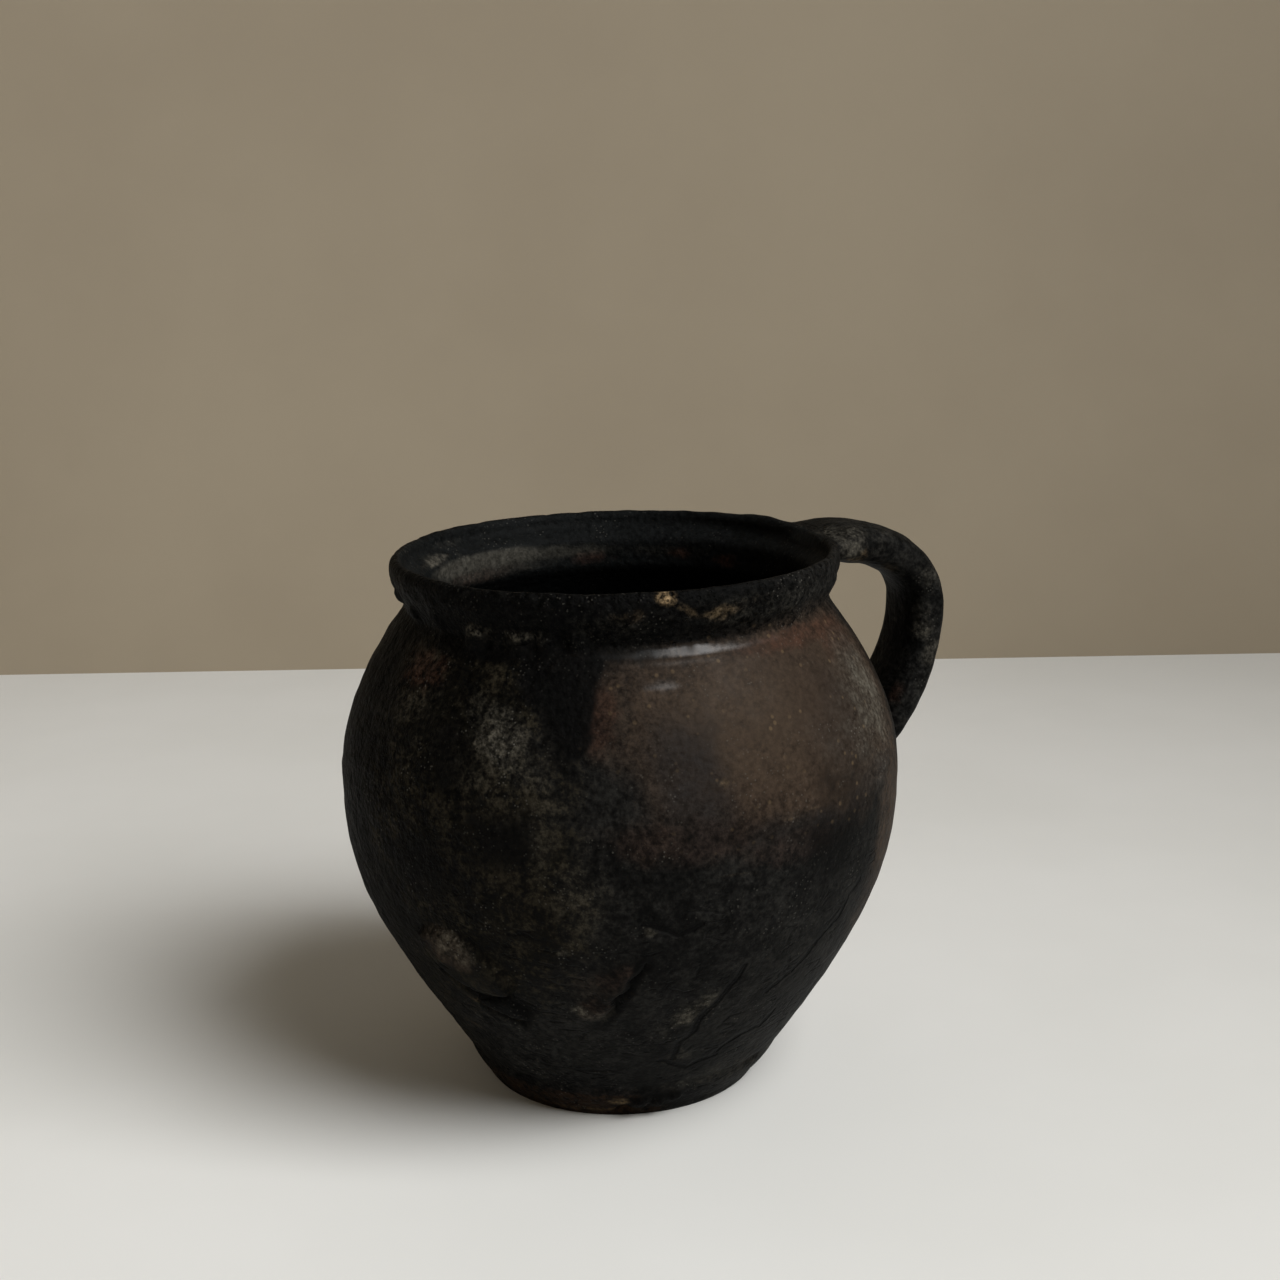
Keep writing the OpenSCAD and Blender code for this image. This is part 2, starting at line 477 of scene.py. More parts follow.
    def build(self) -> bpy.types.Object:
        """Turns the whole outline round the axis and closes both poles.

        Each ring's points crowd towards one side: the angle is t less a share of sin(t - side).

        Returns:
            The closed body.
        """
        stretches = self.outside() + [(self.lip(), 0.8)] + self.inside()
        line = np.concatenate([spaced(points, step)[:-1] for points, step in stretches])[1:]
        t = np.linspace(-math.pi, math.pi, self.sides, endpoint=False)
        angle = t - self.crowding * np.sin(t - math.radians(self.crowded_side))
        rings = len(line)
        r = np.repeat(line[:, 0], self.sides)
        z = np.repeat(line[:, 1], self.sides)
        points = self.place(r, z, np.tile(angle, rings))
        poles = self.place(np.zeros(2), np.array([0.0, self.sizes.floor_t]), np.zeros(2))
        j = np.arange(self.sides)
        after = (j + 1) % self.sides
        first, last = rings * self.sides, (rings - 1) * self.sides
        base_fan = np.stack([after, j, np.full(self.sides, first)], axis=1)
        floor_fan = np.stack([last + j, last + after, np.full(self.sides, first + 1)], axis=1)
        faces = tube_faces(rings, self.sides) + base_fan.tolist() + floor_fan.tolist()
        return make_object("body", np.concatenate([points, poles]), faces)


@dataclass
class Strap:
    """The pulled strap: a full oval section carried from the rim, round the bend, to the belly."""

    sizes: PotSizes
    body: Body
    rings: int = 92
    sides: int = 56
    corner: float = 0.74
    sunk: float = 1.5

    def path(self) -> Array:
        """The strap's centre line in the XZ plane: two cubic curves that meet upright at the bend.

        Returns:
            Points of x and z, evenly spaced, from the rim to the belly.
        """
        s = self.sizes
        end_z = s.belly_z - s.end_drop
        root_x = s.rim_r - s.lip_t / 2 + s.centre(s.pot_h)[0, 0] - self.sunk
        root = np.array([root_x, s.pot_h - s.root_drop])
        bend = np.array([s.reach - s.strap_t / 2, s.pot_h - s.bend_drop])
        tail_r = float(self.body.outer_radius(np.array([end_z]))[0])
        tail = np.array([tail_r + s.centre(end_z)[0, 0] - s.wall / 2, end_z])
        top = curve([
            root,
            (mix(root[0], bend[0], 0.48), root[1] + 0.2 * s.strap_t),
            (bend[0], mix(bend[1], root[1], 0.76)),
            bend,
        ])
        low = curve([
            bend,
            (bend[0], mix(bend[1], tail[1], 0.36)),
            (mix(tail[0], bend[0], 0.56), mix(tail[1], bend[1], 0.36)),
            tail,
        ])
        return spaced(np.concatenate([top[:-1], low]), count=self.rings)

    def build(self) -> bpy.types.Object:
        """Carries the section along the path and closes both sunk ends.

        A section's point is the path's point plus its outward normal times the half thickness
        times cos(a), and the half width times sin(a) across, each raised to a power under one.

        Returns:
            The closed strap.
        """
        s = self.sizes
        line = self.path()
        t = np.linspace(0.0, 1.0, self.rings)
        way = np.gradient(line, axis=0)
        out = np.stack([-way[:, 1], way[:, 0]], axis=1) / np.linalg.norm(way, axis=1)[:, None]
        half_t = s.strap_t / 2 * np.ones(self.rings)
        half_t = mix(0.93 * s.root_drop, half_t, ease(t / 0.13))
        half_t = mix(half_t, 0.3 * s.wall, np.maximum(0.0, 1 - (1 - t) / 0.23) ** 2)
        smear = 2.2 * (1 - ease(t / 0.16)) + (1 - ease((t - 0.08) / 0.2)) + ease((t - 0.45) / 0.4)
        half_w = (s.strap_w + s.strap_spread * smear) / 2
        a = np.linspace(0.0, 2 * math.pi, self.sides, endpoint=False)
        up = np.sign(np.cos(a)) * np.abs(np.cos(a)) ** self.corner
        over = np.sign(np.sin(a)) * np.abs(np.sin(a)) ** self.corner
        across = half_w[:, None] * over
        bend = (1 - ease(t / 0.15)) / s.rim_r + ease((t - 0.55) / 0.45) / s.belly_r
        x = line[:, :1] + out[:, :1] * half_t[:, None] * up - across ** 2 / 2 * bend[:, None]
        z = line[:, 1:] + out[:, 1:] * half_t[:, None] * up
        y = s.centre(line[:, 1])[:, 1:] - across
        points = np.stack([x, y, z], axis=-1).reshape(-1, 3)
        ring = list(range(self.sides))
        caps = [ring[::-1], [(self.rings - 1) * self.sides + j for j in ring]]
        return make_object("strap", points, tube_faces(self.rings, self.sides) + caps)


# What the hand, the fire and use left on the clay

@dataclass
class Skin:
    """The clay's surface in a potter's terms, one value for each point."""

    points: Array
    body: Body
    angle: Array = field(init=False)
    r: Array = field(init=False)
    z: Array = field(init=False)
    within: Array = field(init=False)
    strap: Array = field(init=False)

    def __post_init__(self) -> None:
        """Works out the angle from the handle, the radius, and what is inside or on the strap."""
        s = self.body.sizes
        self.z = self.points[:, 2]
        off = self.points[:, :2] - s.centre(self.z)
        self.r = np.hypot(off[:, 0], off[:, 1])
        self.angle = np.degrees(np.arctan2(off[:, 1], off[:, 0]))
        outer = self.body.outer_radius(self.z)
        self.within = ease((outer - 0.42 * s.wall - self.r) / 1.2) * (self.z > 0.6 * s.floor_t)
        beyond = ease((self.r - outer - 0.6) / 1.2)
        self.strap = beyond * (np.abs(self.points[:, 1]) < s.strap_w) * (self.points[:, 0] > 0)

    def along(self, angle: float) -> Array:
        """Distance round the body from an angle, positive anticlockwise."""
        turn = (self.angle - angle + 180.0) % 360.0 - 180.0
        return np.radians(turn) * self.r

    def turned(self, angle: float, height: float, slope: float) -> tuple[Array, Array]:
        """Distances from a place on the body, along a line that slopes down and across it.

        Args:
            angle: the place's angle.
            height: its height.
            slope: slope of the line in degrees.

        Returns:
            Distance along the line and distance across it.
        """
        u, v = self.along(angle), self.z - height
        c, s = math.cos(math.radians(slope)), math.sin(math.radians(slope))
        return u * c - v * s, u * s + v * c

    @property
    def bare_side(self) -> Array:
        """1 on the outside of the body, 0 inside and on the strap."""
        return (1 - self.within) * (1 - self.strap)


@dataclass(frozen=True)
class Patch:
    """A soft spot on the outside or the inside of the body, whose edge wanders a little."""

    angle: float
    height: float
    half_w: float
    half_h: float
    strength: float = 1.0
    slope: float = 0.0
    squareness: float = 2.0
    ragged: float = 0.35
    soft: float = 1.1
    inside: bool = False

    def cover(self, skin: Skin, grain: Grain) -> Array:
        """How much of the patch lies on each point: half its strength where the distance is 1.

        The distance is the sum of the turned u and v, each over its half size and to the power of
        the squareness, then rooted, and noise moves it.

        Args:
            skin: the surface.
            grain: the noise that frays the edge.

        Returns:
            Values from 0 to the patch's strength.
        """
        p, q = skin.turned(self.angle, self.height, self.slope)
        p, q = np.abs(p) / self.half_w, np.abs(q) / self.half_h
        far = (p ** self.squareness + q ** self.squareness) ** (1 / self.squareness)
        size = min(self.half_w, self.half_h)
        far = far + self.ragged * grain.layered(skin.points, max(2.5, 0.6 * size), 4)
        side = skin.within if self.inside else skin.bare_side
        return self.strength * (1 - ease((far - 1 + self.soft / 2) / self.soft)) * side


@dataclass(frozen=True)
class Blot:
    """A soft-edged ball of space that marks whatever surface passes through it."""

    place: tuple[float, float, float]
    reach: float
    strength: float = 1.0
    ragged: float = 0.5

    def cover(self, skin: Skin, grain: Grain) -> Array:
        """How much of the blot lies on each point: 1 in its middle, 0 past its reach.

        Args:
            skin: the surface.
            grain: the noise that frays the edge.

        Returns:
            Values from 0 to the blot's strength.
        """
        far = np.linalg.norm(skin.points - np.array(self.place), axis=1) / self.reach
        far = far + self.ragged * grain.layered(skin.points, 0.5 * self.reach, 4)
        return self.strength * (1 - ease((far - 0.15) / 1.0))


Marks = Sequence[Union[Patch, Blot]]


def patches(*rows: Sequence[float], **shared: Any) -> tuple[Patch, ...]:
    """Patches from rows of their first values, angle to slope, and what all of them share."""
    return tuple(Patch(*row, **shared) for row in rows)


def covered(marks: Marks, skin: Skin, grain: Grain) -> Array:
    """The strongest of several marks at each point."""
    return np.max([mark.cover(skin, grain) for mark in marks], axis=0)


@dataclass(frozen=True)
class Leaf:
    """A leaf-shaped press of clay that stands proud, with a crease along its lower edge."""

    angle: float = -145.6
    height: float = 61.6
    half_length: float = 17.0
    half_width: float = 8.8
    slope: float = 27.0
    rise: float = 3.0
    crease: float = 2.6

    def local(self, skin: Skin) -> tuple[Array, Array, Array]:
        """Places in the leaf's own terms.

        Args:
            skin: the surface.

        Returns:
            Distance along the leaf, distance across it, and its half width there.
        """
        p, q = skin.turned(self.angle, self.height, self.slope)
        width = self.half_width * np.maximum(0.0, 1 - (p / self.half_length) ** 2) ** 0.8
        return p, q, width

    def crease_line(self, skin: Skin) -> Array:
        """1 along the middle of the crease under the leaf's lower edge, 0 away from it."""
        p, q, width = self.local(skin)
        return bell((q + width + 0.8) / 1.5) * self.fade(p)

    def fade(self, p: Array) -> Array:
        """1 along the leaf, down to 0 past its two tips."""
        return ease((self.half_length + 2 - np.abs(p + 1)) / 6)

    def relief(self, skin: Skin) -> Array:
        """Height over the wall: a dome with a short upper edge and a sharp lower one."""
        p, q, width = self.local(skin)
        safe = np.maximum(width, 0.5)
        dome = np.clip(1 - ((q + 0.2 * safe) / (1.25 * safe)) ** 2, 0.0, 1.0)
        upper = ease((width - q) / 1.5)
        lower = ease((q + width) / 1.3)
        stand = self.rise * (0.55 + 0.45 * dome) * upper * lower * (width > 0)
        groove = self.crease * self.crease_line(skin)
        bank = 0.5 * bell((q + width + 4.2) / 2.2) * self.fade(p)
        return (stand - groove + bank) * skin.bare_side


@dataclass(frozen=True)
class Gouge:
    """A tongue of clay pressed smooth, with a sharp gouge along its right edge."""

    line: tuple[tuple[float, float], ...] = (
        (-106.2, 66.8), (-107.4, 63.2), (-109.6, 60.4), (-109.4, 57.4),
        (-112.8, 53.6), (-113.0, 49.8), (-116.4, 44.6),
    )
    depth: float = 1.7
    half_width: float = 1.3
    rise: float = 1.7

    def relief(self, skin: Skin) -> tuple[Array, Array]:
        """Works out a hollow face that climbs to the gouge's edge, then the gouge.

        Args:
            skin: the surface.

        Returns:
            Height over the wall, and 1 in the gouge's bottom to 0 away from it.
        """
        left = np.full(len(skin.z), -1.0)
        nearest = np.full(len(skin.z), 99.0)
        for (a0, z0), (a1, z1) in zip(self.line[:-1], self.line[1:]):
            u0, v0 = skin.along(a0), skin.z - z0
            du = math.radians(a1 - a0) * skin.r
            dv = z1 - z0
            length = du ** 2 + dv ** 2
            share = np.clip((u0 * du + v0 * dv) / length, 0.0, 1.0)
            gap_u, gap_v = u0 - share * du, v0 - share * dv
            gap = np.hypot(gap_u, gap_v)
            closer = gap < nearest
            nearest = np.where(closer, gap, nearest)
            left = np.where(closer, np.sign(-gap_u), left)
        taper = ease((skin.z - self.line[-1][1] + 3) / 8) * ease((self.line[0][1] + 3 - skin.z) / 6)
        cut = bell(nearest / self.half_width) * taper * skin.bare_side
        edge = self.rise * (left > 0) * bell(nearest / 7.0) * taper
        hollow = 0.9 * bell(skin.along(-119.5) / 9.0, (skin.z - 58.0) / 8.0)
        return (edge - hollow) * skin.bare_side - self.depth * cut, cut


@dataclass(frozen=True)
class Knob:
    """A blob of crust, or a nick where its height is below nothing."""

    angle: float
    height: float
    half_w: float
    half_h: float
    rise: float

    def relief(self, skin: Skin) -> Array:
        """Height over the wall: a flat-topped bump."""
        far = np.hypot(skin.along(self.angle) / self.half_w, (skin.z - self.height) / self.half_h)
        return self.rise * (1 - ease((far - 0.35) / 0.75)) * (1 - skin.within)


KNOBS = tuple(Knob(*row) for row in (
    (-147.4, 154.6, 5.4, 4.8, 2.5), (-141, 154.8, 2.6, 3.4, 1.7), (-134.8, 154.6, 5.2, 4.8, 2.5),
    (-127.8, 154.8, 4.2, 4.2, 2.1), (-120.6, 155.6, 3, 3, 1.3), (-161, 157.5, 4, 3, 1.3),
    (-174, 156.5, 3, 2.6, 1.3), (176, 159.5, 3, 2.6, 0.9), (-110.6, 0.8, 3.6, 4.2, -1.7),
    (-105, 6.8, 3.4, 2.8, 1.7), (-98.5, 5.6, 2.8, 2.4, 1.4), (-92.6, 7.6, 2.8, 2.4, 1.3),
    (178.5, 13.2, 3.6, 2, -1.3), (-98.4, 168.2, 4, 2.4, -0.6), (-89, 162, 6, 2.2, -0.5),
    (-62, 12.5, 5, 2, -0.8), (64, 30, 9, 6, -0.9), (120, 95, 11, 8, -0.7), (150, 159, 4, 3, 1.1),
    (88, 158, 5, 3, 1.2),
))


@dataclass
class HandWork:
    """Everything that moves the clay's surface in or out of the plain turned form."""

    grain: Grain
    leaves: tuple[Leaf, ...] = (Leaf(), Leaf(-139.5, 47.0, 11.0, 4.2, 24.0, 1.6, 1.4))
    gouge: Gouge = Gouge()
    knobs: tuple[Knob, ...] = KNOBS
    inset: float = 0.4
    wobble: float = 0.22
    pressing: float = 0.13
    roughening: float = 0.36
    crust: float = 1.7
    pit_depth: float = 0.4
    pit_spacing: float = 6.5
    bent_rim: float = 0.9

    def coarseness(self, skin: Skin) -> Array:
        """How rough the clay is: most on the left, low down, on the rim and on the strap.

        Args:
            skin: the surface.

        Returns:
            Values from 0, burnished, to 1, crusted.
        """
        burnished = bell(skin.along(-76.0) / 50.0, (skin.z - 134.0) / 25.0)
        rim = ease((skin.z - 152.0) / 3.0) * (0.8 + 0.2 * bell(skin.along(-145.0) / 50.0))
        left = 0.85 * bell(skin.along(-172.0) / 80.0)
        low = ease((84.0 - skin.z) / 50.0)
        base = np.maximum(np.maximum(0.38, left), 0.45 * low)
        pressed = bell(skin.along(-145.0) / 16.0, (skin.z - 62.0) / 8.0)
        rough = np.maximum(base * (1 - 0.9 * burnished) * (1 - 0.6 * pressed), rim)
        rough = mix(rough, 0.3, skin.within)
        return mix(rough, 0.42, skin.strap)

    def throwing(self, skin: Skin) -> Array:
        """Rings left by the fingers: noise drawn out along the turn, deeper inside than outside."""
        turn = np.radians(skin.angle)
        drawn = np.stack([np.cos(turn) * 1.5, np.sin(turn) * 1.5, skin.z / 4.6], axis=1)
        rings = self.grain.layered(drawn + 3.3, 1.0, 2)
        return rings * mix(0.08, 0.36, skin.within) * (1 - skin.strap)

    def pits(self, skin: Skin, rough: Array) -> Array:
        """Small holes where grit fell out: the nearest of scattered dots, where its number is high."""
        far, own = self.grain.dots(skin.points, self.pit_spacing)
        hole = (1 - ease(far / 0.3)) * (own > 0.55)
        return -self.pit_depth * hole * rough

    def strap_work(self, skin: Skin) -> Array:
        """Long finger facets and a rough, smeared skin on the strap."""
        across = skin.points[:, 1]
        run = np.stack([across / 7.0, skin.points[:, 0] / 34.0, skin.z / 34.0], axis=1)
        facets = 0.45 * self.grain.layered(run + 9.1, 1.0, 2)
        return skin.strap * (facets + 0.16 * self.grain.layered(skin.points, 6.0, 2))

    def crease_shade(self, skin: Skin) -> Array:
        """Painted shade: 1 deep in each leaf's crease and in the gouge, 0 elsewhere."""
        lines = [1.3 * leaf.crease_line(skin) * skin.bare_side for leaf in self.leaves]
        return np.clip(np.max(lines + [1.2 * self.gouge.relief(skin)[1]], axis=0), 0.0, 1.0)

    def relief(self, skin: Skin) -> Array:
        """How far each point moves out along its normal: the sum of all that was done to the clay.

        Args:
            skin: the surface.

        Returns:
            Distances in millimetres, which fade to none at the base.
        """
        rough = self.coarseness(skin)
        pressed = self.pressing * self.grain.layered(skin.points + 90.0, 13.0, 2)
        lumps = np.maximum(0.0, self.grain.layered(skin.points + 50.0, 7.0, 2)) ** 1.3
        under_rim = ease((skin.z - 151.0) / 3.0) * ease((166.5 - skin.z) / 4.0)
        crusted = under_rim * (1 - skin.within) * (1 - skin.strap)
        total = sum([
            self.wobble * self.grain.smooth(skin.points, 38.0),
            self.throwing(skin),
            self.strap_work(skin),
            rough * (pressed + self.roughening * self.grain.smooth(skin.points, 4.2)),
            self.crust * crusted * lumps,
            self.pits(skin, rough),
            sum(leaf.relief(skin) for leaf in self.leaves),
            self.gouge.relief(skin)[0],
            sum(knob.relief(skin) for knob in self.knobs),
            self.bent_rim * (bell(skin.along(21.0) / 12.0) * ease((skin.z - 164.0) / 4.0)),
        ])
        return (total - self.inset) * ease((skin.z - 0.4) / 2.5)


@dataclass(frozen=True)
class Stains:
    """Where the fire and use coloured the clay, and where shade and highlights are painted into its colour.
    Each name is a point attribute that the finish reads.
    """

    warm: Marks = (
        *patches((110, 132, 34, 17, 0.6), (150, 60, 26, 16, 0.4), ragged=0.6),
        Patch(-68, 129, 60, 27, squareness=2.8, ragged=0.2, soft=0.75),
        Patch(-40, 86, 17, 36, 0.75, ragged=0.4, soft=1.2),
        Patch(-92, 106, 30, 9, 0.45, ragged=0.4, soft=1.4),
        # Partly rubbed clay, partly painted light: the leaf's upper side made paler.
        Patch(-147.6, 66.4, 10, 5.6, 0.6, 22, ragged=0.1, soft=0.8),
        Patch(-115.5, 57, 10, 9, 0.34, ragged=0.3, soft=1.5),
        Patch(25, 122, 60, 24, 0.75, squareness=3.0),
    )
    lighter: Marks = (
        Patch(-86, 133, 26, 16, 0.9, squareness=2.6, ragged=0.2, soft=1.3),
        # Partly rubbed clay, partly painted light: the leaf's upper side made paler.
        Patch(-148, 67.6, 8, 4.4, 1, 22, ragged=0.15, soft=1.0),
        Patch(30, 130, 36, 12, 0.7, soft=1.3),
    )
    haze_and_shade: Marks = (
        *patches(
            (-76, 101, 30, 6, 0.8, 3), (-52, 107, 18, 7, 0.7, -12), (-43, 143, 10, 7, 0.5),
            ragged=0.5, soft=1.2),
        Patch(-97, 117, 12.5, 22, 0.85, -8, squareness=2.5, ragged=0.3, soft=1.2),
        Patch(-110, 112, 16, 10, 0.5, ragged=0.5, soft=1.5),
        # Painted shade: the brown zone's right flank made darker, where the lamp falls strongest.
        Patch(-56, 122, 20, 22, 0.55, ragged=0.3, soft=1.5),
        Patch(100, 124, 30, 12, 0.6, ragged=0.7, soft=1.4),
    )
    olive: Marks = (
        *patches((-165, 110, 52, 64), (150, 90, 60, 60, 0.9), squareness=3.0, soft=0.9),
        Patch(-132, 92, 26, 40, 0.8, soft=1.3),
    )
    # Soot, with painted shade where noted below.
    soot_and_shade: Marks = (
        *patches(
            (-150, 152, 60, 3.2, 0.8), (-106.5, 66, 3, 3, 0.9), (-98, 6, 17, 4, 0.9), ragged=0.5),
        *patches(
            (-146, 124, 9, 12, 0.6), (-133, 104, 13, 9, 0.7), (-152, 92, 18, 12, 0.6),
            (-168, 64, 26, 24, 0.6), ragged=0.6, soft=1.3),
        # The second of these is painted shade along the gouge.
        *patches((-139, 47.8, 11, 5, 1, 15), (-110.2, 55.5, 2, 13, 0.9, 22), ragged=0.4),
        *patches(
            (70, 96, 40, 30, 0.6), (160, 120, 50, 24, 0.6), (20, 60, 50, 22, 0.6), ragged=0.7, soft=1.3),
        Patch(-123.8, 148, 12.5, 9, ragged=0.25, soft=0.6),
        Patch(-120.8, 137.5, 7.2, 13.5, 1, 8, ragged=0.25, soft=0.7),
        # Painted shade: the left flank, turned away from the lamp, darkened towards black.
        Patch(178, 94, 22, 70, 0.95, squareness=3.0, ragged=0.5, soft=1.3),
        # Painted shade: the dark line in the crease under the leaf.
        Patch(-144.5, 53, 15, 2.4, 1, 29, ragged=0.3),
        Patch(-65, 95, 17, 12, 0.6, -6, ragged=0.8, soft=1.7),
        Patch(-63, 111, 10, 8, 0.45, ragged=1.0, soft=1.3),
        Patch(-139, 57, 8, 4.4, 0.45, 27, ragged=0.4, soft=1.3),
    )
    dust_and_highlight: Marks = (
        *patches(
            (-140, 137.5, 6, 4.5, 0.3, 20), (-134.5, 130.5, 10, 6, 0.85, 38), (-133, 124, 13, 13, 0.3),
            ragged=0.5, soft=1.6),
        *patches(
            (-126.5, 121.5, 6, 5, 0.45, 35), (-136, 133.5, 3, 3, 0.6), (-96.5, 44, 9, 5, 0.25, -42),
            (-140, 155.4, 15, 3.2, 0.16), ragged=0.5, soft=1.5),
        *patches(
            (-118.5, 88, 8, 14, 0.32), (-125, 107, 6, 14, 0.28), (-161, 132, 18, 14, 0.2),
            (-163, 146, 12, 7, 0.25), (-97, 27, 5, 4, 0.3, -30), (-68, 162, 30, 5, 0.25),
            ragged=0.6, soft=1.5),
        *patches((-43, 130, 13, 14, 0.85), (-50, 123, 18, 16, 0.4), ragged=0.5, soft=1.4),
        *patches(
            (-62, 120, 18, 12, 0.2), (-117.5, 47.5, 6, 3, 0.45), (-70, 13, 20, 4, 0.35),
            (40, 108, 14, 10, 0.6), (132, 100, 22, 16, 0.5), ragged=0.8),
        # Painted highlights: pale edges along the tops of the rim's knobs.
        *patches(
            (-147.4, 157.4, 4.8, 1.3, 0.6), (-133.4, 157.4, 7, 1.2, 0.5), ragged=0.4, soft=1.5),
        *patches(
            (-120.5, 49, 2.4, 1.4, 0.9), (-122.5, 70, 1.8, 1.2, 0.8), (-105.8, 77.5, 1.8, 1.4, 0.8),
            ragged=0.6),
        *patches((139, 162.5, 9, 1.2, 0.7), (128, 165.5, 7, 1.2, 0.25), ragged=0.8, inside=True),
        # Partly rubbed clay, partly painted light: the leaf's upper side made paler.
        Patch(-146.6, 67.6, 8.6, 4.2, 0.66, 24, ragged=0.2, soft=1.0),
        Patch(-95, 46.6, 7.5, 3.2, 0.95, -42, ragged=0.9, soft=2.0),
        Patch(-112, 160, 12, 4, 0.2, ragged=0.8, soft=1.5),
        Blot((75, -12, 166.5), 11, 0.65, 0.9),
        Blot((86, -13, 166), 8, 0.3, 0.8),
        Blot((101, -15, 137), 7.5, 0.65, 0.7),
        Blot((107, -14, 128), 6, 0.5, 0.7),
        Blot((105, -15, 154), 7, 0.35, 0.7),
    )
    ruddy: Marks = (
        *patches(
            (-56, 150.8, 28, 3, 0.6), (-44, 147, 12, 7, 0.45), (-114.4, 137, 5, 10, 0.5, 8),
            (-100, 104, 26, 8, 0.3), (-76, 97, 22, 6, 0.3), (-112, 62, 8, 4, 0.35, -20),
            (-120, 9, 30, 4, 0.22), ragged=0.5),
        *patches(
            (-117, 50, 6, 5, 0.35), (-106, 163, 5, 2.4, 0.4), (95, 146, 20, 6, 0.5), ragged=0.6),
        *patches(
            (31, 155.5, 5, 2.4, 0.65), (48, 156.5, 5, 2, 0.6), (78, 155, 9, 2.6, 0.4),
            (120, 153, 22, 3, 0.35), ragged=0.6, inside=True),
        Patch(-162, 144.5, 10, 5.5, 0.62, ragged=0.7, soft=1.4),
        Blot((92, -13, 116), 6, 0.5),
    )
    bare: Marks = (
        *patches(
            (-94.5, 164.6, 6, 1.5, 0.4, 34), (-85.5, 162.3, 6, 2.2, 0.4, -8),
            (-88.5, 92.2, 9, 0.8, 0.22, 4), ragged=0.6, soft=1.4),
        *patches((-76, 164, 12, 2.4, 0.2, -8), (-108, 163, 6, 2.4, 0.2), ragged=0.7, soft=1.5),
        *patches(
            (-128, 2.6, 24, 1.1, 0.3), (-112.5, 6.6, 3.6, 1.5, 0.6), (-158, 33, 8, 1, 0.25, 12),
            ragged=0.6),
        *patches(
            (-75, 106.2, 7.5, 0.6, 0.35, -6), (-91, 118.7, 1.5, 1.3, 0.4), (-85, 111, 1.6, 1.2, 0.4),
            ragged=0.5),
        Patch(-99, 168.2, 3.6, 2, 0.8, 20, ragged=0.5, soft=1.3),
        Patch(-144, 44, 9, 1.1, 0.35, 22, ragged=0.5, soft=1.4),
        Patch(58, 165, 7, 2.2, 0.5, ragged=0.7),
        Blot((78, -14.5, 160.5), 6.5, 0.55, 0.8),
        Blot((91, -10, 155), 6, 0.25, 0.8),
    )
    worn: Marks = (
        Patch(-135, 4.2, 33, 5.4, squareness=4.0, ragged=0.2, soft=0.5),
        Patch(120, 4, 26, 4, 0.7, squareness=4.0),
    )
    sheen: Marks = (
        *patches((-79, 152, 20, 0.8, 0.55), (-97, 149.6, 14, 0.9, 0.28), ragged=0.4, soft=1.5),
        Patch(-94, 152.2, 15, 0.9, ragged=0.4, soft=1.4),
        Patch(-110, 151.8, 13, 0.9, 0.7, ragged=0.6, soft=1.3),
        Patch(-80, 141, 40, 10, 0.14, ragged=0.3, soft=1.2),
        Patch(-101.5, 144.2, 5, 1.1, 0.9, ragged=0.6, soft=1.4),
        Patch(60, 140, 40, 12, 0.3, ragged=0.4),
    )
    # Painted light: the lit band round the inside of the throat, made a pale tan.
    throat: Marks = (
        Patch(118, 158, 27, 2.9, squareness=2.5, ragged=0.15, soft=0.9, inside=True),
        Patch(92, 157.4, 26, 2.6, 0.6, ragged=0.3, soft=1.3, inside=True),
        Patch(118, 154.5, 28, 3.5, 0.5, ragged=0.3, inside=True),
        Patch(52, 157, 18, 2.4, 0.35, ragged=0.4, inside=True),
    )

    def put_on(self, mesh: bpy.types.Mesh, skin: Skin, grain: Grain, rough: Array, crease_shade: Array) -> None:
        """Writes each kind of stain, the painted shade and highlights, and what the surface is, as point
        attributes.

        Args:
            mesh: the finished mesh.
            skin: its surface.
            grain: the noise that frays the edges.
            rough: how coarse the clay is.
            crease_shade: painted shade, 1 deep in a leaf's crease and in the gouge.
        """
        kinds = {name: covered(getattr(self, name), skin, grain) for name in STAIN_NAMES}
        rim = ease((skin.z - 152.5) / 2.5) * (1 - skin.within) * (1 - skin.strap)
        cleaner = bell(skin.along(-45.0) / 40.0)
        kinds["soot_and_shade"] = np.maximum(kinds["soot_and_shade"], rim * (0.8 - 0.5 * cleaner))
        # Painted shade: each leaf's crease and the gouge are darkened here.
        kinds["soot_and_shade"] = np.maximum(kinds["soot_and_shade"], crease_shade)
        kinds["within"] = skin.within
        kinds["strap"] = skin.strap
        kinds["rough"] = rough
        kinds["low"] = ease((96.0 - skin.z + 6.0 * grain.smooth(skin.points, 30.0)) / 16.0) * skin.bare_side
        for name, values in kinds.items():
            attribute = mesh.attributes.new(name, "FLOAT", "POINT")
            attribute.data.foreach_set("value", np.asarray(values, np.float32))


STAIN_NAMES = ("warm", "lighter", "haze_and_shade", "olive", "soot_and_shade", "dust_and_highlight", "ruddy", "bare", "worn", "sheen", "throat")


# Finishes

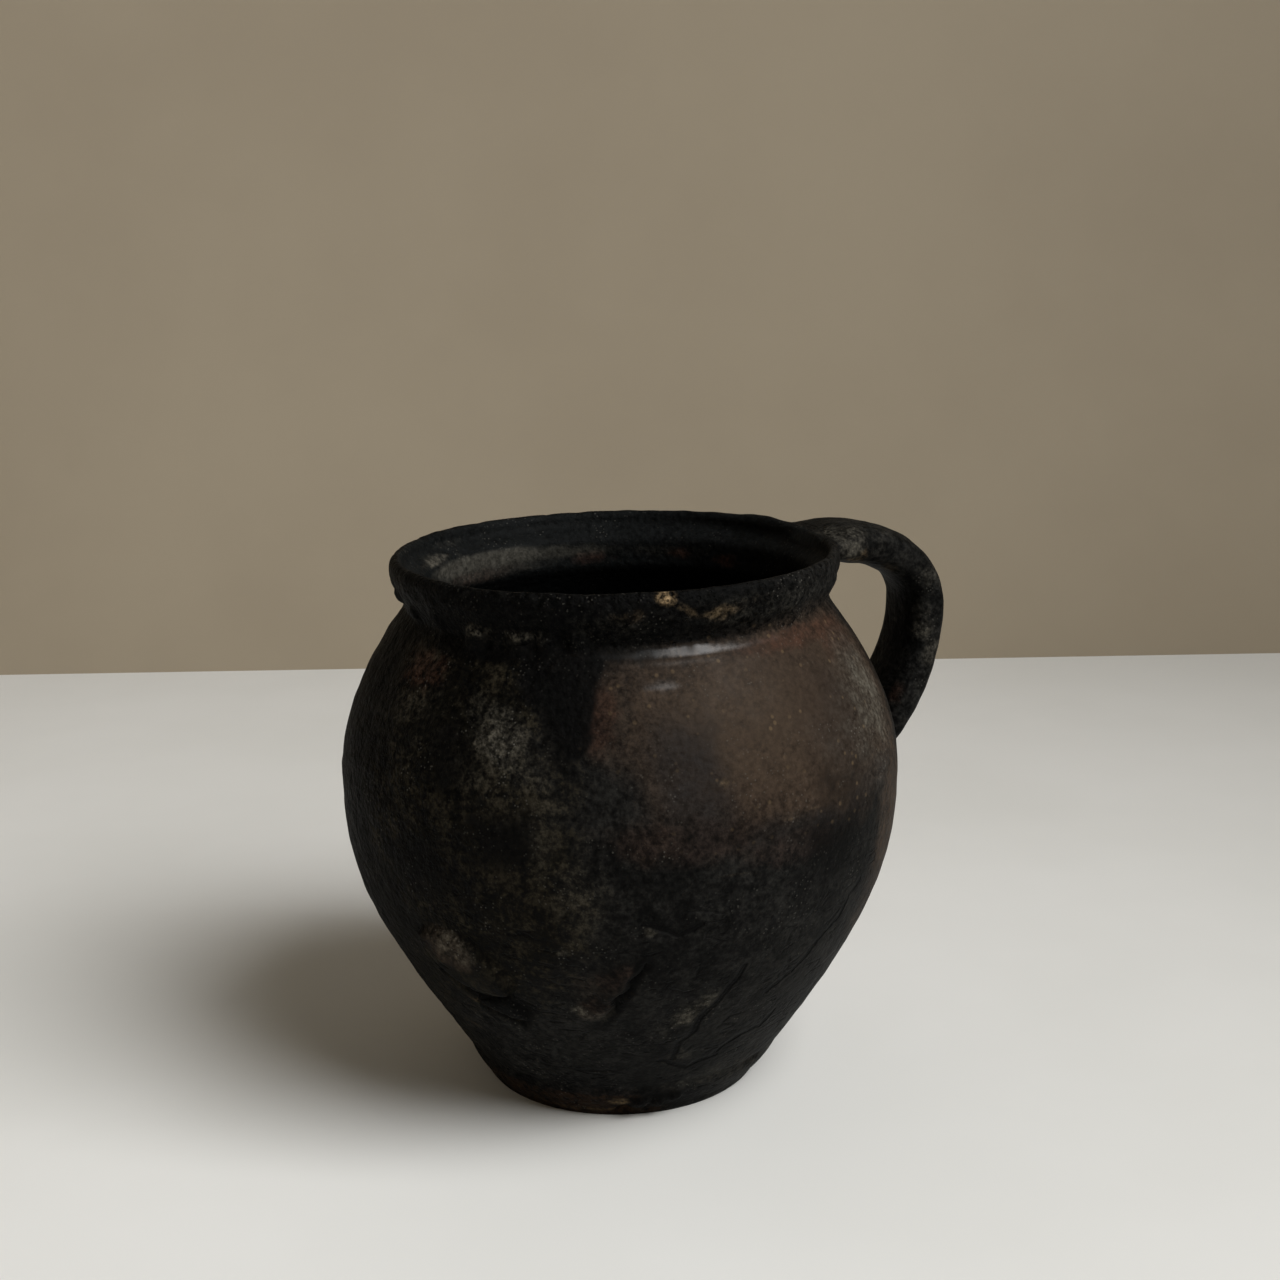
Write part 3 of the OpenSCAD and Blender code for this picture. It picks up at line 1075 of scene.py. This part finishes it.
@dataclass(frozen=True)
class Value:
    """A number that the shader works out at each point of a surface."""

    kit: "ShaderKit"
    socket: bpy.types.NodeSocket

    def _math(self, operation: str, *others: Any) -> "Value":
        """One Math node on this value and others."""
        inputs = dict(enumerate(others))
        return self.kit.value("ShaderNodeMath", {"operation": operation}, inputs)

    def __add__(self, other: Any) -> "Value":
        """This plus the other."""
        return self._math("ADD", self, other)

    __radd__ = __add__

    def __sub__(self, other: Any) -> "Value":
        """This less the other."""
        return self._math("SUBTRACT", self, other)

    def __rsub__(self, other: Any) -> "Value":
        """The other less this."""
        return self._math("SUBTRACT", other, self)

    def __mul__(self, other: Any) -> "Value":
        """This times the other."""
        return self._math("MULTIPLY", self, other)

    __rmul__ = __mul__

    def __truediv__(self, other: Any) -> "Value":
        """This over the other."""
        return self._math("DIVIDE", self, other)

    def least(self, other: Any) -> "Value":
        """The smaller of the two."""
        return self._math("MINIMUM", self, other)

    def most(self, other: Any) -> "Value":
        """The larger of the two."""
        return self._math("MAXIMUM", self, other)

    def step(self, low: float, high: float) -> "Value":
        """A smooth step from 0 at low to 1 at high, or from 1 to 0 where low is the larger."""
        settings = {"interpolation_type": "SMOOTHSTEP"}
        if low < high:
            return self.kit.value("ShaderNodeMapRange", settings, {0: self, 1: low, 2: high})
        return 1.0 - self.kit.value("ShaderNodeMapRange", settings, {0: self, 1: high, 2: low})


class ShaderKit:
    """Adds nodes to one material's tree."""

    def __init__(self, name: str) -> None:
        """Makes an empty material with a Principled shader.

        Args:
            name: name of the material.
        """
        self.material = bpy.data.materials.new(name)
        self.material.use_nodes = True
        self.tree = self.material.node_tree
        self.shader = self.tree.nodes["Principled BSDF"]

    def node(self, kind: str, settings: dict[str, Any], inputs: dict[Any, Any]) -> bpy.types.Node:
        """Adds a node.

        Args:
            kind: the node's type.
            settings: its own settings.
            inputs: a value, colour or link for each input, by name or number.

        Returns:
            The new node.
        """
        made = self.tree.nodes.new(kind)
        for name, value in settings.items():
            setattr(made, name, value)
        for key, value in inputs.items():
            self.feed(made.inputs[key], value)
        return made

    def feed(self, socket: bpy.types.NodeSocket, value: Any) -> None:
        """Links a value or socket to an input, or sets the input's own number or colour."""
        if isinstance(value, Value):
            value = value.socket
        if isinstance(value, bpy.types.NodeSocket):
            self.tree.links.new(value, socket)
        else:
            socket.default_value = value

    def value(self, kind: str, settings: dict[str, Any], inputs: dict[Any, Any], out: Any = 0) -> Value:
        """Adds a node and gives one of its outputs as a value."""
        return Value(self, self.node(kind, settings, inputs).outputs[out])

    def attribute(self, name: str) -> Value:
        """The piece's own point attribute."""
        return self.value("ShaderNodeAttribute", {"attribute_name": name}, {}, "Fac")

    def millimetres(self) -> bpy.types.NodeSocket:
        """The point's place on the piece, in millimetres."""
        return self.scaled(self.node("ShaderNodeTexCoord", {}, {}).outputs["Object"], 1 / MM)

    def scaled(self, vector: Any, factor: Any) -> bpy.types.NodeSocket:
        """A vector or colour times a factor."""
        inputs = {0: vector, "Scale": factor}
        return self.node("ShaderNodeVectorMath", {"operation": "SCALE"}, inputs).outputs[0]

    def noise(self, at: Any, size: float, detail: float = 3.0, rough: float = 0.55) -> Value:
        """Noise from 0 to 1 whose largest lumps are of the given size."""
        inputs = {"Vector": at, "Scale": 1 / size, "Detail": detail, "Roughness": rough}
        return self.value("ShaderNodeTexNoise", {}, inputs, "Fac")

    def dots(self, at: Any, size: float, feature: str = "F1") -> Value:
        """Distance to the nearest of scattered dots, or to the border between their cells."""
        inputs = {"Vector": at, "Scale": 1 / size}
        return self.value("ShaderNodeTexVoronoi", {"feature": feature}, inputs, "Distance")

    def blend(self, share: Any, first: Any, second: Any) -> bpy.types.NodeSocket:
        """The first colour turned into the second by a share."""
        inputs = {0: share, 6: first, 7: second}
        return self.node("ShaderNodeMix", {"data_type": "RGBA"}, inputs).outputs[2]

    def vector(self, operation: str, first: Any, second: Any) -> bpy.types.NodeSocket:
        """A Vector Math node's vector."""
        return self.node("ShaderNodeVectorMath", {"operation": operation}, {0: first, 1: second}).outputs[0]

    def dot(self, first: Any, second: Any) -> Value:
        """How far one vector goes along another, as a product."""
        inputs = {0: first, 1: second}
        return self.value("ShaderNodeVectorMath", {"operation": "DOT_PRODUCT"}, inputs, "Value")

    def length(self, vector: Any) -> Value:
        """The length of a vector."""
        return self.value("ShaderNodeVectorMath", {"operation": "LENGTH"}, {0: vector}, "Value")

    def line_gap(self, at: Any, line: Array) -> Value:
        """Distance to a line through points: the least distance to any of its straight stretches.

        Args:
            at: the place.
            line: the line's points in the same units, one row each.

        Returns:
            The distance.
        """
        gaps = []
        for start, end in zip(line[:-1], line[1:]):
            way = end - start
            reach = self.vector("SUBTRACT", at, tuple(start))
            share = self.dot(reach, tuple(way / (way @ way))).most(0.0).least(1.0)
            gaps.append(self.length(self.vector("SUBTRACT", reach, self.scaled(tuple(way), share))))
        return reduce(Value.least, gaps)


def colour(r: float, g: float, b: float) -> tuple[float, float, float, float]:
    """An opaque linear colour."""
    return (r, g, b, 1.0)


@dataclass(frozen=True)
class FiredClay:
    """Fired earthenware under soot, dust and wear, with painted shade and painted highlights in its colour.
    """

    char: tuple = colour(0.0128, 0.0124, 0.0112)
    char_deep: tuple = colour(0.0040, 0.0040, 0.0037)
    char_olive: tuple = colour(0.0042, 0.0037, 0.0025)
    olive_pale: tuple = colour(0.0165, 0.0138, 0.0088)
    strap_grey: tuple = colour(0.0200, 0.0190, 0.0160)
    taupe: tuple = colour(0.0400, 0.0275, 0.0190)
    taupe_deep: tuple = colour(0.0325, 0.0225, 0.0158)
    taupe_pale: tuple = colour(0.0440, 0.0305, 0.0205)
    slate: tuple = colour(0.0150, 0.0136, 0.0130)
    brick: tuple = colour(0.0480, 0.0210, 0.0130)
    black: tuple = colour(0.0022, 0.0022, 0.0021)
    ash_and_highlight: tuple = colour(0.080, 0.073, 0.058)
    clay: tuple = colour(0.165, 0.115, 0.062)
    foot_brown: tuple = colour(0.0165, 0.0098, 0.0060)
    inner: tuple = colour(0.0056, 0.0062, 0.0062)
    throat_painted_light: tuple = colour(0.050, 0.047, 0.039)
    fleck: tuple = colour(0.22, 0.21, 0.18)
    cracks: tuple = (
        ((-85.4, 61.7), (-89.7, 49.8), (-94.4, 36.4), (-97.7, 26.0)),
        ((-105.7, 80.0), (-100.1, 76.0), (-96.0, 78.6)),
        ((-55.7, 77.4), (-60.2, 68.0), (-69.7, 56.8), (-76.4, 48.0)),
        ((-70.0, 37.0), (-77.5, 30.0), (-85.0, 25.0)),
        ((-101.0, 26.0), (-93.0, 22.5), (-84.0, 24.0)),
    )

    def build(self, body: Body) -> bpy.types.Material:
        """Makes the material.

        Args:
            body: the body, on whose wall the cracks lie.

        Returns:
            The material, which reads the stains' attributes.
        """
        kit = ShaderKit("fired_clay")
        at = kit.millimetres()
        cloud = kit.noise(at, 30.0, 6.0, 0.6)
        mottle = kit.noise(at, 7.0, 5.0, 0.6)
        grit = kit.noise(at, 1.7, 4.0, 0.68)
        pebble = kit.dots(at, 1.9)
        clouded, mottled, gritty = cloud - 0.5, mottle - 0.5, grit - 0.5
        stain = {name: kit.attribute(name) for name in STAIN_NAMES + ("within", "strap", "rough", "low")}

        def mask(name: str, low: float, high: float, breaking: float = 1.0) -> Value:
            """A stain's cover, broken up by the clay's mottling and grain."""
            broken = 1.0 + mottled * (3.4 * breaking) + gritty * (2.6 * breaking)
            return (stain[name] * broken).step(low, high)

        # Char and olive ground, with the strap and the inside in tones of their own
        crumb = clouded * 0.9 + mottled * 1.2 + gritty * 0.9
        tone = kit.blend(crumb.step(-0.28, 0.34), self.char_deep, self.char)
        spotted = cloud + mottled * 1.6 + gritty * 1.2
        olive = kit.blend(spotted.step(0.36, 0.78), self.char_olive, self.olive_pale)
        tone = kit.blend(mask("olive", 0.2, 0.8), tone, olive)
        tone = kit.blend(stain["strap"] * mottle.step(0.52, 0.72) * 0.5, tone, self.strap_grey)
        tone = kit.blend(stain["within"], tone, self.inner)
        # Painted light: the throat band's pale tan.
        tone = kit.blend(mask("throat", 0.10, 1.0, 0.12), tone, self.throat_painted_light)

        # The burnished brown zone, its paler middle, and its haze with painted shade on the right flank
        brown = kit.blend((mottle * 0.4 + cloud * 0.6).step(0.38, 0.62), self.taupe_deep, self.taupe)
        brown = kit.blend(mask("lighter", 0.0, 1.1, 0.12), brown, self.taupe_pale)
        brown = kit.blend(mask("haze_and_shade", 0.1, 1.1, 0.3) * 0.9, brown, self.slate)
        warm = mask("warm", 0.1, 0.95, 0.3)
        tone = kit.blend(warm, tone, brown)
        tone = kit.blend(mask("ruddy", 0.1, 1.1, 0.4) * 0.85, tone, self.brick)
        tone = kit.blend(mask("worn", 0.3, 0.8), tone, self.foot_brown)

        # Soot with painted shade, dust with painted highlights, and bare clay over the fired colours
        dust_and_highlight = mask("dust_and_highlight", 0.02, 1.2, 0.4)
        soot_and_shade = mask("soot_and_shade", 0.15, 0.85, 0.6) * (1.0 - dust_and_highlight)
        tone = kit.blend(soot_and_shade * 0.96, tone, self.black)
        tone = kit.blend(dust_and_highlight * (0.65 + gritty * 1.5 + mottled * 1.5).most(0.08), tone, self.ash_and_highlight)
        tone = kit.blend(mask("bare", 0.10, 1.15, 0.5), tone, self.clay)

        # The grain's own light and shade, deeper where the clay is rough
        crisp = grit.step(0.32, 0.70) - 0.47
        depth = 0.14 + 0.95 * stain["rough"]
        shade = (0.95 + (crisp * 1.7 + mottled * 1.2 + (0.40 - pebble) * 0.9) * depth).most(0.10)
        tone = kit.scaled(tone, shade)

        # Pale specks and tan crumbs, then holes and cracks painted black as the shade in them
        scattered = kit.noise(at, 11.0, 3.0)
        share = (0.15 + 0.5 * stain["rough"] + 0.5 * stain["dust_and_highlight"]) * scattered.step(0.46, 0.70)
        clear = (1.0 - 0.5 * soot_and_shade) * (1.0 - 0.5 * stain["strap"])
        specks = kit.dots(at, 1.4).step(0.26, 0.12) * share * clear
        tone = kit.blend(specks * 0.6, tone, self.fleck)
        crumbs = kit.dots(at, 4.3).step(0.20, 0.08) * warm * scattered.step(0.62, 0.46)
        tone = kit.blend(crumbs * 0.3, tone, self.clay)
        sparse = kit.noise(at, 9.0, 2.0).step(0.47, 0.60)
        small_holes = pebble.step(0.26, 0.14) * stain["rough"] * scattered.step(0.58, 0.42)
        holes = (kit.dots(at, 2.8).step(0.30, 0.15) * sparse * (0.05 + stain["rough"])).most(small_holes)
        # Painted shade: the holes darkened towards black.
        tone = kit.blend(holes * 0.85, tone, self.black)
        crack = self.crack_mask(kit, at, body, stain)
        # Painted shade: the cracks darkened towards black.
        tone = kit.blend(crack * 0.92, tone, self.black)
        kit.feed(kit.shader.inputs["Base Color"], tone)

        # Burnish and glints
        gloss = (stain["sheen"] * (1.0 + mottled * 3.0 + gritty * 1.6)).step(0.05, 1.0)
        roughness = (0.62 + gritty * 0.5 + dust_and_highlight * 0.2 - warm * 0.06 - gloss * 0.2).least(0.95).most(0.3)
        kit.feed(kit.shader.inputs["Roughness"], roughness)
        sparkle = grit.step(0.60, 0.74) * mottle.step(0.44, 0.62) + specks
        glints = sparkle * stain["rough"] * (0.15 - 0.12 * soot_and_shade)
        kit.feed(kit.shader.inputs["Coat Weight"], gloss * 0.38 + glints)
        kit.shader.inputs["Coat Roughness"].default_value = 0.27
        kit.shader.inputs["Specular IOR Level"].default_value = 0.035

        # Relief finer than the mesh
        coarse = (0.06 + 0.74 * stain["rough"]) * (1.0 - 0.30 * stain["low"])
        crumble = kit.noise(at, 2.6, 2.0, 0.5)
        height = coarse * ((crumble - 0.5) * 1.6 + gritty * 0.7 - pebble * 0.4)
        height = height - holes * 0.5 * (0.2 + coarse) - crack * 0.7 + specks * 0.15
        bump = {"Height": height, "Strength": 1.0, "Distance": MM}
        kit.feed(kit.shader.inputs["Normal"], kit.node("ShaderNodeBump", {}, bump).outputs[0])
        return kit.material

    def crack_mask(self, kit: ShaderKit, at: Any, body: Body, stain: dict[str, Value]) -> Value:
        """Where the clay has cracked: some long cracks, and a broken net of fine ones low down.

        Args:
            kit: the material's nodes.
            at: the place in millimetres.
            body: the body, on whose wall the cracks lie.
            stain: the attributes.

        Returns:
            A value from 0 to 1.
        """
        wander = kit.node("ShaderNodeTexNoise", {}, {"Vector": at, "Scale": 1 / 5.0, "Detail": 4.0})
        shift = kit.vector("SUBTRACT", wander.outputs["Color"], (0.5, 0.5, 0.5))
        bent = kit.vector("ADD", at, kit.scaled(shift, 2.0))
        marks = []
        jagged = np.random.default_rng(CRACK_SEED)
        for line in self.cracks:
            ends = np.array(line)
            fine = spaced(ends * (1.4, 1.0), 6.5) / (1.4, 1.0)
            fine[1:-1] += jagged.uniform(-1.0, 1.0, (len(fine) - 2, 2)) * (1.5, 1.6)
            z = fine[:, 1]
            gap = kit.line_gap(bent, body.place(body.outer_radius(z), z, np.radians(fine[:, 0])))
            marks.append(gap.step(1.5, 0.5))
        turn = {"Vector": bent, "Rotation": (0.0, math.radians(24.0), 0.0), "Scale": (0.4, 0.4, 1.0)}
        slanted = kit.node("ShaderNodeMapping", {}, turn).outputs[0]
        net = kit.dots(slanted, 4.2, "DISTANCE_TO_EDGE").step(0.12, 0.03)
        broken = kit.noise(at, 9.0, 3.0).step(0.52, 0.64) * stain["low"]
        return reduce(Value.most, marks).most(net * broken * 0.55) * (1.0 - stain["within"])


@dataclass(frozen=True)
class PlainPaint:
    """Flat paint with a faint unevenness, for the floor and the backdrop."""

    name: str
    tone: tuple
    other_tone: tuple
    roughness: float = 0.8

    def build(self) -> bpy.types.Material:
        """Makes the material."""
        kit = ShaderKit(self.name)
        at = kit.millimetres()
        tone = kit.blend(kit.noise(at, 220.0, 4.0).step(0.3, 0.7), self.tone, self.other_tone)
        kit.feed(kit.shader.inputs["Base Color"], tone)
        kit.shader.inputs["Roughness"].default_value = self.roughness
        kit.shader.inputs["Specular IOR Level"].default_value = 0.2
        return kit.material


class Paint(Enum):
    """The two painted surfaces round the pot."""

    FLOOR = PlainPaint("floor_paint", colour(0.80, 0.80, 0.775), colour(0.76, 0.76, 0.73))
    WALL = PlainPaint("wall_plaster", colour(0.41, 0.35, 0.262), colour(0.38, 0.322, 0.240))


# The pot as one piece

@dataclass
class Pot:
    """The whole fired pot: body and strap joined into one skin, then marked and coloured."""

    sizes: PotSizes
    work: HandWork
    stains: Stains = Stains()
    luting: float = 5.0
    luting_rounds: int = 14
    grain_size: float = 0.12
    clearance: float = 0.01

    def join(self, body: bpy.types.Object, strap: bpy.types.Object) -> bpy.types.Object:
        """Unites the strap with the body, and drops what the union left smaller than a grain.

        Args:
            body: the closed body.
            strap: the closed strap.

        Returns:
            The united object. The two others are removed.
        """
        union = body.modifiers.new("union", "BOOLEAN")
        union.operation, union.solver, union.object = "UNION", "EXACT", strap
        graph = bpy.context.evaluated_depsgraph_get()
        mesh = bpy.data.meshes.new_from_object(body.evaluated_get(graph))
        mesh.name = "earthenware_pot"
        made = bpy.data.objects.new("earthenware_pot", mesh)
        bpy.context.scene.collection.objects.link(made)
        for old in (body, strap):
            bpy.data.objects.remove(old)
        work = bmesh.new()
        work.from_mesh(mesh)
        bmesh.ops.remove_doubles(work, verts=work.verts, dist=self.grain_size * MM)
        many = [face for face in work.faces if len(face.verts) > 4]
        bmesh.ops.triangulate(work, faces=many)
        work.to_mesh(mesh)
        work.free()
        return made

    def lute(self, mesh: bpy.types.Mesh, body: Body) -> None:
        """Smooths the clay where the strap meets the body: points move to their neighbours' mean.

        Args:
            mesh: the united mesh.
            body: the body, which gives the seam's place.
        """
        points = read_points(mesh)
        pairs = np.empty(len(mesh.edges) * 2, int)
        mesh.edges.foreach_get("vertices", pairs)
        pairs = pairs.reshape(-1, 2)
        ends = np.concatenate([pairs, pairs[:, ::-1]])
        degree = np.bincount(ends[:, 0], minlength=len(points))
        skin = Skin(points, body)
        s = self.sizes
        off_wall = np.abs(skin.r - body.outer_radius(skin.z))
        reach = np.abs(points[:, 1]) - s.strap_w / 2 - s.strap_spread
        beside = ease(1 - (reach - 2) / self.luting)
        z = points[:, 2]
        high = ease((z - s.neck_z - 1) / 3.0)
        low = ease((s.belly_z + 24 - z) / 6.0) * ease((z - s.belly_z + s.end_drop + 8) / 6.0)
        near = ease(1 - (off_wall - 2.0) / self.luting) * beside * (points[:, 0] > 0) * np.maximum(high, low)
        near = near * (skin.within < 0.5)
        for _ in range(self.luting_rounds):
            sums = [np.bincount(ends[:, 0], points[ends[:, 1], k], len(points)) for k in range(3)]
            mean = np.stack(sums, axis=1) / np.maximum(degree, 1)[:, None]
            points = mix(points, mean, 0.5 * near[:, None])
        write_points(mesh, points)

    def keep_in(self, points: Array) -> Array:
        """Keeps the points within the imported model's box."""
        low, high = np.array(cad_box[0]) / MM, np.array(cad_box[1]) / MM
        return np.clip(points, low + self.clearance, high - self.clearance)

    def build(self) -> bpy.types.Object:
        """Builds, joins, works over and colours the pot.

        Returns:
            The finished pot.
        """
        body = Body(self.sizes)
        shell = body.build()
        LOG.info("body: %d faces", len(shell.data.polygons))
        handle = Strap(self.sizes, body).build()
        LOG.info("strap: %d faces", len(handle.data.polygons))
        pot = self.join(shell, handle)
        self.lute(pot.data, body)
        skin = Skin(read_points(pot.data), body)
        rough = self.work.coarseness(skin)
        moved = skin.points + read_normals(pot.data) * self.work.relief(skin)[:, None]
        self.stains.put_on(pot.data, skin, self.work.grain, rough, self.work.crease_shade(skin))
        write_points(pot.data, self.keep_in(moved))
        pot.data.polygons.foreach_set("use_smooth", np.ones(len(pot.data.polygons), bool))
        pot.data.materials.clear()
        pot.data.materials.append(FiredClay().build(body))
        pot.data.update()
        return pot


# The studio

@dataclass(frozen=True)
class Studio:
    """Pale floor, plain walls, one large soft lamp from the right, and the camera."""

    camera_place: tuple[float, float, float] = (-193.6, -516.8, 275.0)
    heading: float = 21.4
    pitch: float = 13.76
    roll: float = 0.98
    lens: float = 50.93
    sensor: float = 36.0
    back_wall: float = 510.0
    side_wall: float = 1500.0
    wall_h: float = 1600.0
    lamp_turn: float = 52.0
    lamp_rise: float = 48.0
    lamp_far: float = 1900.0
    lamp_lift: float = 0.08
    lamp_size: float = 1.25
    lamp_power: float = 15.5
    lamp_spread: float = 92.0
    lamp_aim: tuple[float, float, float] = (-0.70, -0.30, 0.0)
    sky: tuple = colour(0.12, 0.12, 0.12)

    def directions(self) -> tuple[Array, Array]:
        """The camera's level heading and the level direction to its right."""
        a = math.radians(self.heading)
        return np.array([math.sin(a), math.cos(a), 0.0]), np.array([math.cos(a), -math.sin(a), 0.0])

    def camera(self) -> None:
        """Makes the camera: turned to its heading, tilted down, then rolled."""
        ahead, right = self.directions()
        p, q = math.radians(self.pitch), math.radians(self.roll)
        forward = ahead * math.cos(p) - np.array([0.0, 0.0, math.sin(p)])
        up = np.cross(right, forward)
        x_axis = math.cos(q) * right - math.sin(q) * up
        y_axis = math.sin(q) * right + math.cos(q) * up
        turn = Matrix(np.stack([x_axis, y_axis, -forward], axis=1).tolist()).to_4x4()
        data = bpy.data.cameras.new("camera")
        data.lens, data.sensor_width = self.lens, self.sensor
        made = bpy.data.objects.new("camera", data)
        made.matrix_world = Matrix.Translation(Vector(self.camera_place) * MM) @ turn
        bpy.context.scene.collection.objects.link(made)
        bpy.context.scene.camera = made

    def lamp(self) -> None:
        """Hangs the soft lamp to the right and in front, and sets the even light of the sky."""
        ahead, right = self.directions()
        a, e = math.radians(self.lamp_turn), math.radians(self.lamp_rise)
        level = right * math.sin(a) - ahead * math.cos(a)
        way = level * math.cos(e) + np.array([0.0, 0.0, math.sin(e)])
        data = bpy.data.lights.new("window_lamp", "AREA")
        data.shape, data.size, data.energy = "SQUARE", self.lamp_size, self.lamp_power
        made = bpy.data.objects.new("window_lamp", data)
        place = Vector(way * self.lamp_far * MM) + Vector((0.0, 0.0, self.lamp_lift))
        aim = right * self.lamp_aim[0] + ahead * self.lamp_aim[1] + np.array([0.0, 0.0, self.lamp_aim[2]])
        data.spread = math.radians(self.lamp_spread)
        made.location = place
        made.rotation_euler = (place - Vector(aim)).to_track_quat("Z", "Y").to_euler()
        made.visible_camera = False
        bpy.context.scene.collection.objects.link(made)
        world = bpy.data.worlds.new("sky")
        world.use_nodes = True
        world.node_tree.nodes["Background"].inputs["Color"].default_value = self.sky
        bpy.context.scene.world = world

    def room(self) -> None:
        """Lays the floor and stands a wall behind the pot and three further off."""
        ahead, right = self.directions()
        far = self.side_wall
        corners = [ahead * y + right * x for x, y in
                   ((-far, -far), (far, -far), (far, self.back_wall), (-far, self.back_wall))]
        floor = make_object("floor", np.array(corners), [[0, 1, 2, 3]])
        floor.data.materials.append(Paint.FLOOR.value.build())
        up = np.array([0.0, 0.0, self.wall_h])
        walls = make_object("walls", np.array(corners + [c + up for c in corners]),
                            [[k, k + 4, (k + 1) % 4 + 4, (k + 1) % 4] for k in range(4)])
        walls.data.materials.append(Paint.WALL.value.build())
        for part in (floor, walls):
            part.data.polygons.foreach_set("use_smooth", np.zeros(len(part.data.polygons), bool))


def main() -> None:
    """Builds the pot and the studio in order, and logs the pot's points and triangles."""
    logging.basicConfig(level=logging.INFO, format="%(name)s: %(message)s")
    bpy.context.scene.view_settings.view_transform = "Standard"
    studio = Studio()
    studio.camera()
    studio.lamp()
    studio.room()
    pot = Pot(PotSizes.from_frame(), HandWork(Grain(GRAIN_SEED))).build()
    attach(pot, "root")
    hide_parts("pot")
    triangles = sum(len(face.vertices) - 2 for face in pot.data.polygons)
    LOG.info("earthenware_pot: %d points, %d triangles", len(pot.data.vertices), triangles)


if __name__ == "__main__":
    main()
